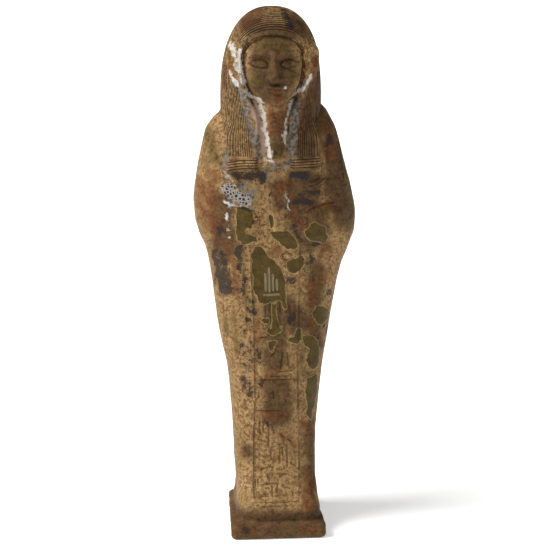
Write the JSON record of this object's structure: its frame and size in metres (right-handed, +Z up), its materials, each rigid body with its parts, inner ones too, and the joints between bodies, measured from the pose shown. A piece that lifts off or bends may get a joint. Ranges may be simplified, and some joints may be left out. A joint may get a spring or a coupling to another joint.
{
  "type": "ushabti figurine",
  "caption": "Mummiform funerary figurine of weathered glazed composition, standing on its own base.",
  "frame": {"origin": "on the underside of the integral base, under the middle of the figure", "axes": "+Z up along the figure, the figure faces -Y, +X to its left hand"},
  "size_m": [0.0578, 0.0421, 0.19],
  "materials": {
    "faience": "weathered faience: dull buff body with patches of olive and blue-black glaze, rust and lime"
  },
  "bodies": {
    "root": {"figurine": "faience"}
  },
  "joints": []
}
